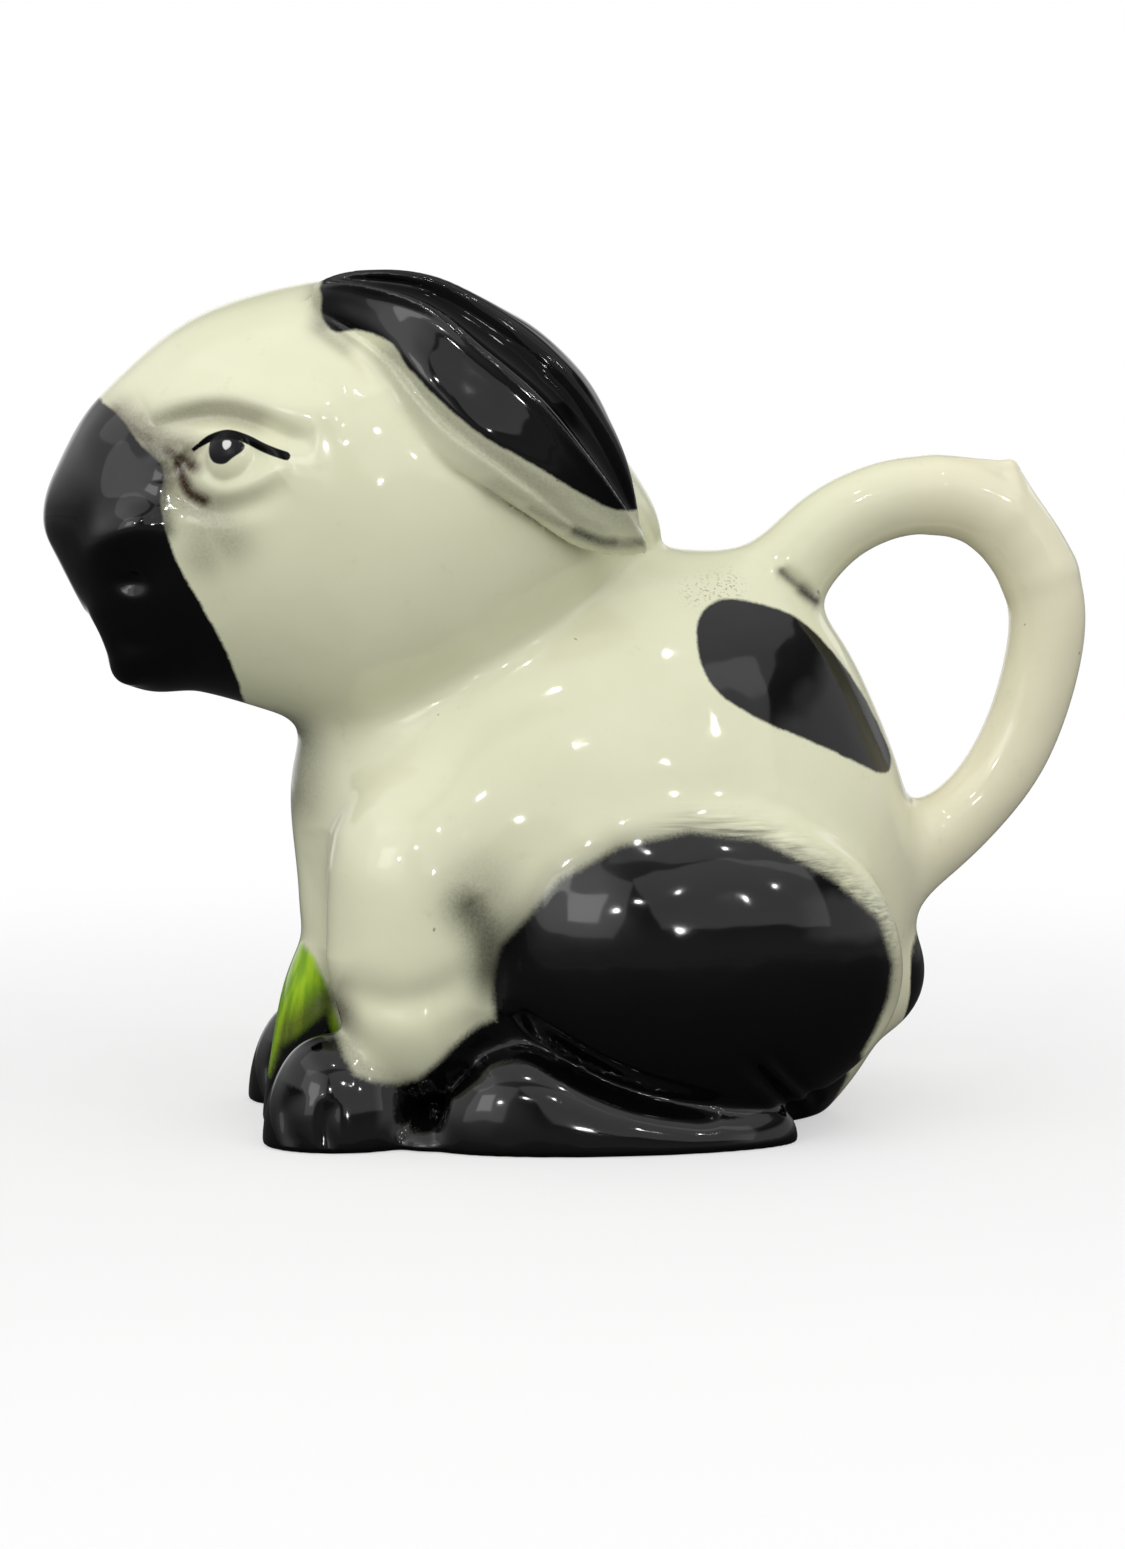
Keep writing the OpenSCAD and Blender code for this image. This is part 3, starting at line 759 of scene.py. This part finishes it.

# Airbrushed black and brown, which also paints shade into creases and under the chin: places, width, strength
# Black: soft edges of the black paint, and painted shade in the elbow, wrist and handle-root creases
BLACK_STROKES_AND_CREASE_SHADE = [([(468, 905), (486, 935), (492, 968)], 3.4, 0.75), ([(480, 890), (500, 930), (504, 970)], 5.5, 0.35),
              ([(345, 1044), (360, 1066), (395, 1083), (430, 1080), (455, 1056)], 1.7, 0.5),
              ([(335, 985), (338, 1025)], 2.0, 0.35), ([(324, 290), (323, 325)], 1.6, 0.5),
              ([(318, 326), (345, 345)], 1.4, 0.3), ([(781, 571), (793, 581), (803, 590)], 0.6, 0.75),
              ([(803, 590), (816, 601)], 0.9, 0.95), ([(150, 455), (163, 472), (161, 500), (166, 530)], 1.3, 0.75)]
# Painted shade under the chin, laid on as dark airbrush on the chest
UNDER_CHIN_STROKES_AND_SHADE = [([(296, 732), (312, 755), (308, 795)], 4.0, 0.75), ([(300, 726), (345, 742), (350, 770)], 6.0, 0.35)]
# Along the ear's rim: grey-brown airbrush, and painted shade in the crease where the ear meets the neck
EAR_RIM_STROKES_AND_SHADE = [([(395, 358), (450, 420), (540, 480), (640, 520)], 2.6, 0.42), ([(500, 486), (600, 526)], 2.6, 0.3),
            ([(530, 508), (560, 524), (590, 538)], 0.7, 0.5), ([(575, 531), (600, 541), (615, 543)], 0.9, 0.85),
            ([(610, 544), (638, 543), (652, 536)], 1.0, 0.6)]
SPECKS = [([(696, 594), (712, 589), (732, 585)], 1.7, 1.0)]
# Brown: airbrush around the eye and above the paw, and painted shade in the brow, inner-corner and under-eye creases
BROWN_STROKES_AND_CREASE_SHADE = [([(120, 418), (150, 438), (178, 451)], 2.6, 0.7), ([(116, 414), (134, 430), (150, 440)], 1.8, 0.8),
              ([(168, 451), (184, 460), (192, 466)], 1.3, 0.95),
              ([(178, 463), (183, 478), (189, 492), (204, 501)], 1.1, 1.0),
              ([(168, 464), (176, 486), (186, 501), (204, 509)], 2.6, 0.5),
              ([(209, 512), (217, 528), (229, 542)], 3.2, 0.4), ([(190, 508), (202, 530), (204, 556)], 3.0, 0.36),
              ([(150, 424), (190, 413), (217, 411), (253, 419)], 1.8, 0.38),
              ([(262, 1052), (285, 1036), (328, 1000)], 2.0, 0.75)]


def misted(strokes, where):
    """The darkening that soft strokes leave, airbrush and painted shade alike, where a mask lets them."""
    shade = np.zeros(len(cells))
    for points, wide, strength in strokes:
        gap, _ = line_gap(x, z, seen_from_camera(smooth_line(points, 4), eared))
        shade = np.maximum(shade, strength * bell(gap, 0, wide) * where)
    return shade


flanks, chest = step(np.abs(y), 1.5, 5.0), bell(y, 0, 9.5)
dark_airbrush_and_shade = np.maximum(misted(BLACK_STROKES_AND_CREASE_SHADE, flanks), misted(UNDER_CHIN_STROKES_AND_SHADE, chest))
paint["dark_airbrush_and_shade"] = np.maximum(dark_airbrush_and_shade, misted(EAR_RIM_STROKES_AND_SHADE, step(near_ear, 3.5, 1.5)))
paint["brown_airbrush_and_shade"] = misted(BROWN_STROKES_AND_CREASE_SHADE, flanks)
paint["specked"] = misted(SPECKS, flanks)


# Materials: one glaze for all the castings, and bare clay where it stood in the kiln
class Nodes:
    """Short calls for the nodes of a material or world."""

    def __init__(self, owner):
        owner.use_nodes = True
        self.tree = owner.node_tree
        self.tree.nodes.clear()

    def add(self, kind, inputs=None, **settings):
        n = self.tree.nodes.new(kind)
        for k, v in settings.items():
            setattr(n, k, v)
        for k, v in (inputs or {}).items():
            if isinstance(v, bpy.types.NodeSocket):
                self.tree.links.new(v, n.inputs[k])
            else:
                n.inputs[k].default_value = v
        return n

    def math(self, op, a, b=0.0, c=0.0, clamp=False):
        return self.add("ShaderNodeMath", {0: a, 1: b, 2: c}, operation=op, use_clamp=clamp).outputs[0]

    def value(self, name):
        return self.add("ShaderNodeAttribute", attribute_name=name).outputs["Fac"]

    def noise(self, where, scale, detail=3.0, rough=0.55):
        return self.add("ShaderNodeTexNoise", {"Vector": where, "Scale": scale, "Detail": detail, "Roughness": rough}
                        ).outputs["Fac"]

    def ramp(self, x, lo, hi):
        ends = {"Value": x, "From Min": lo, "From Max": hi, "To Min": 0.0, "To Max": 1.0}
        return self.add("ShaderNodeMapRange", ends, interpolation_type="SMOOTHSTEP").outputs["Result"]

    def mix(self, factor, a, b):
        n = self.add("ShaderNodeMix", {"Factor": factor}, data_type="RGBA")
        for i, v in ((6, a), (7, b)):
            if isinstance(v, bpy.types.NodeSocket):
                self.tree.links.new(v, n.inputs[i])
            else:
                n.inputs[i].default_value = v
        return n.outputs[2]

    def stretched(self, where, turn, scale):
        return self.add("ShaderNodeMapping", {"Vector": where, "Rotation": (0.0, turn, 0.0), "Scale": scale}
                        ).outputs["Vector"]

    def object_place(self):
        return self.add("ShaderNodeTexCoord").outputs["Object"]

    def shade(self, kind, surface):
        self.tree.links.new(surface, self.add(kind).inputs["Surface"])


BLACK = (0.0016, 0.0017, 0.0019, 1)
CREAM, CREAM_DEEP, CREAM_AGED = (0.82, 0.82, 0.6, 1), (0.78, 0.785, 0.56, 1), (0.86, 0.81, 0.6, 1)
FRECKLE, PINHOLE = (0.62, 0.58, 0.42, 1), (0.12, 0.1, 0.07, 1)
GREEN_DEEP, GREEN_PALE = (0.21, 0.43, 0.004, 1), (0.4, 0.65, 0.012, 1)
# Airbrush tints; they also lay the painted shade in creases and under the chin
SPRAY_SHADE_BROWN, SPRAY_SHADE_BLACK, SPECK = (0.05, 0.028, 0.016, 1), (0.022, 0.02, 0.014, 1), (0.02, 0.018, 0.012, 1)
BRUSH_HAZE, IRIS_BLACK, GLINT_WHITE = (0.03, 0.028, 0.02, 1), (0.016, 0.016, 0.018, 1), (0.75, 0.75, 0.72, 1)
BISQUE, BISQUE_DEEP = (0.72, 0.66, 0.55, 1), (0.63, 0.56, 0.44, 1)
GLAZE_IOR = 1.52


def glaze_material():
    m = bpy.data.materials.new("glaze")
    n = Nodes(m)
    where = n.object_place()
    fine, broad = n.noise(where, 2600.0, 2.0), n.noise(where, 45.0, 4.0)
    mid = n.noise(where, 380.0, 3.0)
    streak = n.noise(n.stretched(where, 0.5, (130.0, 500.0, 2300.0)), 1.0, 3.0, 0.6)
    vein = n.noise(n.stretched(where, -0.3, (620.0, 420.0, 75.0)), 1.0, 2.0, 0.5)
    cream = n.mix(n.ramp(broad, 0.3, 0.7), CREAM, CREAM_DEEP)
    aged = n.ramp(n.add("ShaderNodeSeparateXYZ", {"Vector": where}).outputs["X"], 0.03, 0.06)
    cream = n.mix(n.math("MULTIPLY", aged, 0.8), cream, CREAM_AGED)
    cream = n.mix(n.math("MULTIPLY", n.ramp(mid, 0.62, 0.8), 0.25), cream, FRECKLE)
    pinhole = n.ramp(n.noise(where, 530.0, 1.0), 0.8, 0.83)
    cream = n.mix(n.math("MULTIPLY", pinhole, 0.6), cream, PINHOLE)
    leaf_green = n.mix(n.ramp(vein, 0.35, 0.65), GREEN_DEEP, GREEN_PALE)
    leaf_part = n.ramp(n.math("ADD", n.value("leaf_edge"), n.math("MULTIPLY", mid, 0.8)), 0.9, 0.2)
    colour = n.mix(leaf_part, cream, leaf_green)
    # Brown and black airbrush, carrying the painted crease and under-chin shade too
    for shade, tint in (("brown_airbrush_and_shade", SPRAY_SHADE_BROWN), ("dark_airbrush_and_shade", SPRAY_SHADE_BLACK)):
        grain = n.math("MULTIPLY", n.math("SUBTRACT", fine, 0.5), n.ramp(n.value(shade), 0.0, 0.5))
        grainy = n.math("ADD", n.value(shade), n.math("MULTIPLY", grain, 0.3))
        colour = n.mix(n.math("MAXIMUM", grainy, 0.0, clamp=True), colour, tint)
    specks = n.math("MULTIPLY", n.ramp(n.noise(where, 2400.0, 1.0), 0.56, 0.66), n.value("specked"))
    colour = n.mix(n.math("MULTIPLY", specks, 0.45), colour, SPECK)
    brushed = n.math("MULTIPLY", n.math("SUBTRACT", streak, 0.5), n.value("brushed"))
    haze = n.math("POWER", n.ramp(n.value("hind_edge"), 5.5, -0.6), 2.0)
    haze = n.math("MULTIPLY", n.math("MULTIPLY", haze, n.value("hazy")), n.math("MULTIPLY_ADD", brushed, 2.4, 0.6))
    colour = n.mix(n.math("MAXIMUM", haze, 0.0, clamp=True), colour, BRUSH_HAZE)
    ragged = n.math("ADD", n.value("hind_edge"), n.math("MULTIPLY", brushed, 1.2))
    ragged = n.math("ADD", ragged, n.math("MULTIPLY", n.math("SUBTRACT", fine, 0.5), 0.7))
    colour = n.mix(n.ramp(ragged, 0.8, -0.6), colour, BLACK)
    wobble = n.math("ADD", n.math("MULTIPLY", n.math("SUBTRACT", mid, 0.5), 0.5),
                    n.math("MULTIPLY", n.math("SUBTRACT", fine, 0.5), 0.25))
    edge = n.math("ADD", n.value("black_edge"), wobble)
    iris, lid = n.ramp(n.value("iris_edge"), 0.1, -0.1), n.ramp(n.value("lid_edge"), 0.08, -0.08)
    colour = n.mix(iris, colour, IRIS_BLACK)
    colour = n.mix(n.ramp(edge, 0.28, -0.22), colour, BLACK)
    colour = n.mix(lid, colour, BLACK)
    # Painted highlight on the eye
    colour = n.mix(n.ramp(n.value("glint_edge"), 0.1, -0.1), colour, GLINT_WHITE)
    rough = n.math("ADD", n.math("MULTIPLY", mid, 0.05), 0.05)
    # Duller glaze on the iris, the lid line and the leaf, and in the ear's groove as painted shade
    dull = n.math("MAXIMUM", n.math("MAXIMUM", iris, lid), n.math("MULTIPLY", leaf_part, 0.85))
    gloss = n.math("MULTIPLY_ADD", n.math("MAXIMUM", dull, n.value("pit")), -0.4, 0.5)
    ripple = n.math("ADD", n.noise(where, 42.0, 1.0), n.math("MULTIPLY", n.noise(where, 170.0, 1.0), 0.16))
    bump = n.add("ShaderNodeBump", {"Strength": 0.4, "Distance": 0.002, "Height": ripple}).outputs["Normal"]
    shader = n.add("ShaderNodeBsdfPrincipled", {"Base Color": colour, "Roughness": rough, "Normal": bump,
                                                "IOR": GLAZE_IOR, "Specular IOR Level": gloss})
    n.shade("ShaderNodeOutputMaterial", shader.outputs["BSDF"])
    return m


def bisque_material():
    m = bpy.data.materials.new("bisque")
    n = Nodes(m)
    where = n.object_place()
    grain, patch = n.noise(where, 1800.0, 4.0), n.noise(where, 70.0, 3.0)
    colour = n.mix(n.ramp(patch, 0.3, 0.7), BISQUE, BISQUE_DEEP)
    bump = n.add("ShaderNodeBump", {"Strength": 0.35, "Distance": 0.0004, "Height": grain}).outputs["Normal"]
    rough = n.math("ADD", n.math("MULTIPLY", grain, 0.2), 0.6)
    shader = n.add("ShaderNodeBsdfPrincipled", {"Base Color": colour, "Roughness": rough, "Normal": bump})
    n.shade("ShaderNodeOutputMaterial", shader.outputs["BSDF"])
    return m


glaze, bisque = glaze_material(), bisque_material()


def make_piece(node, kind, wanted):
    """The closed mesh of one piece, in place of its CAD node."""
    front, back = sides[:, 0] == wanted, sides[:, 1] == wanted
    faces = np.concatenate([quads[front], quads[back][:, ::-1]])
    used, faces = np.unique(faces, return_inverse=True)
    faces = faces.reshape(-1, 4)
    mesh = bpy.data.meshes.new(node)
    mesh.from_pydata((place[used] * MM).tolist(), [], faces.tolist())
    for name, values in paint.items():
        mesh.attributes.new(name, "FLOAT", "POINT").data.foreach_set("value", values[used].astype(np.float32))
    mesh.shade_smooth()
    own = np.zeros(len(used) * 3, np.float32)
    mesh.vertices.foreach_get("normal", own)
    shown = np.where(on_skin[used][:, None], normal[used], own.reshape(-1, 3))
    mesh.normals_split_custom_set_from_vertices(shown.tolist())
    mesh.materials.append(bisque if kind == "base_plate" else glaze)
    piece = bpy.data.objects.new("glazed_" + node, mesh)
    bpy.context.scene.collection.objects.link(piece)
    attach(piece, "root")
    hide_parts(node)


for number_of, kind in enumerate(PIECES):
    if kind in PAIRED:
        make_piece("left_" + kind, kind, number_of + 1)
        make_piece("right_" + kind, kind, len(PIECES) + number_of + 1)
    else:
        make_piece(kind, kind, number_of + 1)


# Stage: a pale floor, a white surround and soft studio light. What the camera sees behind the object is white,
# and glossy glaze mirrors that white behind it, a dim room in front of it and the softbox above it. A soft fill
# from behind, which isn't mirrored, lights the far side.
FLOOR_HALF, FLOOR_SEEN, WHITE = 3, (0.9, 0.9, 0.9, 1), (1, 1, 1, 1)
FLOOR_LIGHT, FLOOR_DARK = (0.36, 0.36, 0.355, 1), (0.33, 0.33, 0.325, 1)
FLOOR_MIRRORED_NEAR, FLOOR_MIRRORED_FAR = (0.025, 0.025, 0.025, 1), (0.22, 0.22, 0.22, 1)
ROOM_LOW, ROOM_MID, ROOM_TOP = (0.22, 0.22, 0.22, 1), (0.08, 0.08, 0.08, 1), (0.4, 0.4, 0.4, 1)
FILL_LIGHT, LEFT_WALL, RIGHT_WALL = (0.5, 0.5, 0.5, 1), (0.9, 0.9, 0.9, 1), (0.7, 0.7, 0.7, 1)


def seen_directly(n):
    """Whether a ray comes from the camera, and whether it is mirrored or passes through something."""
    path = n.add("ShaderNodeLightPath")
    mirrored = n.math("MAXIMUM", path.outputs["Is Glossy Ray"], path.outputs["Is Transmission Ray"])
    return path.outputs["Is Camera Ray"], mirrored


def stage_material():
    m = bpy.data.materials.new("floor")
    n = Nodes(m)
    where = n.object_place()
    camera_ray, mirrored = seen_directly(n)
    tone = n.mix(n.noise(where, 6.0, 2.0), FLOOR_LIGHT, FLOOR_DARK)
    away = n.add("ShaderNodeVectorMath", {0: where}, operation="LENGTH").outputs["Value"]
    tone = n.mix(mirrored, tone, n.mix(n.ramp(away, 0.15, 1.5), FLOOR_MIRRORED_NEAR, FLOOR_MIRRORED_FAR))
    tone = n.mix(camera_ray, tone, FLOOR_SEEN)
    shader = n.add("ShaderNodeBsdfPrincipled", {"Base Color": tone, "Roughness": 0.8})
    white = n.add("ShaderNodeEmission", {"Color": WHITE, "Strength": 1.0})
    depth = n.add("ShaderNodeSeparateXYZ", {"Vector": where}).outputs["Y"]
    share = n.math("ADD", n.math("MULTIPLY", n.ramp(away, 0.08, 0.32), 0.5), 0.5)
    behind = n.ramp(n.math("DIVIDE", depth, n.math("ADD", away, 0.001)), 0.8, 0.97)
    behind = n.math("MULTIPLY", n.math("MULTIPLY", behind, n.ramp(depth, 0.3, 0.9)), mirrored)
    share = n.math("MAXIMUM", n.math("MULTIPLY", share, camera_ray), behind)
    both = n.add("ShaderNodeMixShader", {0: share, 1: shader.outputs["BSDF"], 2: white.outputs["Emission"]})
    n.shade("ShaderNodeOutputMaterial", both.outputs["Shader"])
    return m


floor_mesh = bpy.data.meshes.new("floor")
floor_corners = [(i * FLOOR_HALF, k * FLOOR_HALF, 0) for i, k in ((-1, -1), (1, -1), (1, 1), (-1, 1))]
floor_mesh.from_pydata(floor_corners, [], [(0, 1, 2, 3)])
floor_mesh.materials.append(stage_material())
floor = bpy.data.objects.new("floor", floor_mesh)
bpy.context.scene.collection.objects.link(floor)

world = bpy.data.worlds.new("studio")
bpy.context.scene.world = world
n = Nodes(world)
camera_ray, mirrored = seen_directly(n)
way = n.add("ShaderNodeSeparateXYZ", {"Vector": n.add("ShaderNodeTexCoord").outputs["Generated"]})
height = way.outputs["Z"]
room = n.mix(n.ramp(height, 0.1, 0.45), ROOM_LOW, ROOM_MID)
room = n.mix(n.ramp(height, 0.5, 0.95), room, ROOM_TOP)
fill = n.math("MULTIPLY_ADD", n.ramp(way.outputs["Y"], 0.0, 0.7), 0.9, 0.34)
room = n.mix(mirrored, n.mix(fill, room, FILL_LIGHT), room)
wall = n.math("MULTIPLY", n.ramp(way.outputs["X"], -0.15, -0.6), n.ramp(height, 0.0, 0.4))
room = n.mix(n.math("MULTIPLY", wall, n.ramp(height, 0.95, 0.75)), room, LEFT_WALL)
wall = n.math("MULTIPLY", n.ramp(way.outputs["X"], 0.55, 0.8), n.ramp(height, 0.05, 0.18))
room = n.mix(n.math("MULTIPLY", wall, n.ramp(height, 0.56, 0.44)), room, RIGHT_WALL)
behind = n.math("MULTIPLY", n.ramp(way.outputs["Y"], 0.8, 0.97), n.ramp(height, 0.55, 0.3))
behind = n.math("MULTIPLY", mirrored, behind)
shown = n.mix(n.math("MAXIMUM", camera_ray, behind), room, WHITE)
sky = n.add("ShaderNodeBackground", {"Color": shown, "Strength": 1.0})
n.shade("ShaderNodeOutputWorld", sky.outputs["Background"])


def lamp(name, at, aim, size, power):
    data = bpy.data.lights.new(name, "AREA")
    data.shape = "RECTANGLE"
    data.size, data.size_y = size
    data.energy = power
    o = bpy.data.objects.new(name, data)
    o.location = at
    o.rotation_euler = (Vector(aim) - Vector(at)).to_track_quat("-Z", "Y").to_euler()
    bpy.context.scene.collection.objects.link(o)


lamp("ceiling", (-0.02, -0.3, 1.25), (-0.02, -0.3, 0), (2.75, 1.2), 5.7)
lamp("window", (-0.72, -0.82, 0.53), (0, 0, 0.06), (0.3, 0.3), 0.57)
lamp("front_left", (-0.98, -1.05, 0.8), (0, 0, 0.05), (1.1, 1.0), 2.4)
lamp("front_right", (0.42, -1.05, 0.8), (0, 0, 0.05), (1.55, 0.9), 3.1)
lamp("back", (0.8, 0.9, 0.7), (0, 0, 0.05), (0.6, 0.6), 1.0)
SPOTS = [(-0.5, -0.95, 0.5), (-0.3, -1.05, 0.66), (0.02, -1.0, 0.78), (0.34, -0.95, 0.6), (0.6, -0.8, 0.75),
         (-0.12, -0.62, 1.05), (0.3, -0.5, 1.0), (0.02, -1.0, 0.29)]
SPOT_SIZE, SPOT_POWER = (0.028, 0.028), 0.34
for i, spot in enumerate(SPOTS):
    lamp("spot_%d" % i, spot, (0, 0, 0.06), SPOT_SIZE, SPOT_POWER)

camera = bpy.data.cameras.new("camera")
camera.sensor_width = SENSOR
camera.lens = PIXELS_PER_RADIAN * SENSOR / FRAME_H
camera.clip_start = 0.01
view = bpy.data.objects.new("camera", camera)
turn = Matrix((right_way, up_way, to_camera)).transposed()
view.matrix_world = Matrix.Translation(Vector(eye_point * MM)) @ turn.to_4x4()
bpy.context.scene.collection.objects.link(view)
bpy.context.scene.camera = view
bpy.context.scene.view_settings.view_transform = "Standard"
